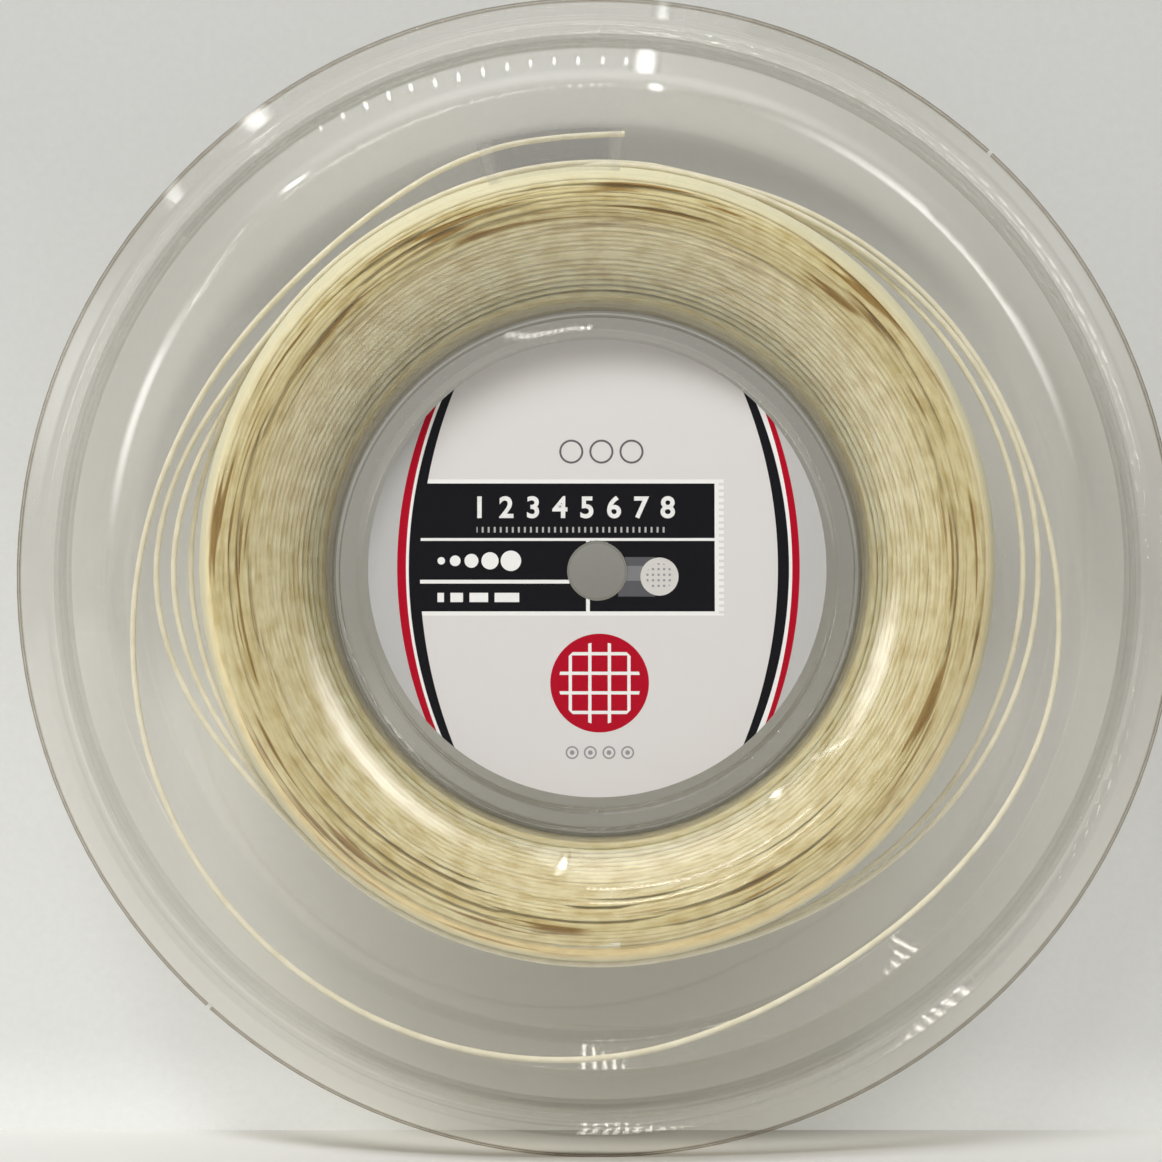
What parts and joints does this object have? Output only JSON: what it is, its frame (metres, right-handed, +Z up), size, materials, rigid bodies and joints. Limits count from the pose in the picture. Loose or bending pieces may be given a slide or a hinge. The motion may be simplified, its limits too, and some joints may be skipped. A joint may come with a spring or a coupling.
{
  "type": "string reel",
  "caption": "Round clear reel for racket string: two domed shells joined at a recessed hub with a spindle hole, a wound coil of pale string, round hub labels and a loose last turn.",
  "frame": {"origin": "middle of the spindle hole, on the reel's mid-plane where the two shells meet", "axes": "+Y along the reel's axis towards the rear shell, -Y out of the front face, +Z up to the place over which the string's end is taped, +X to the right as seen from the front"},
  "size_m": [0.25, 0.035, 0.25],
  "materials": {
    "clear_shell": "gloss",
    "adhesive": "satin",
    "label": "satin",
    "string": "satin",
    "tape": "gloss"
  },
  "bodies": {
    "root": {"front_shell": "clear_shell", "rear_shell": "clear_shell", "bond_ring": "adhesive", "front_label": "label", "rear_label": "label", "string_winding": "string", "loose_turn": "string", "end_tape": "tape"}
  },
  "joints": []
}
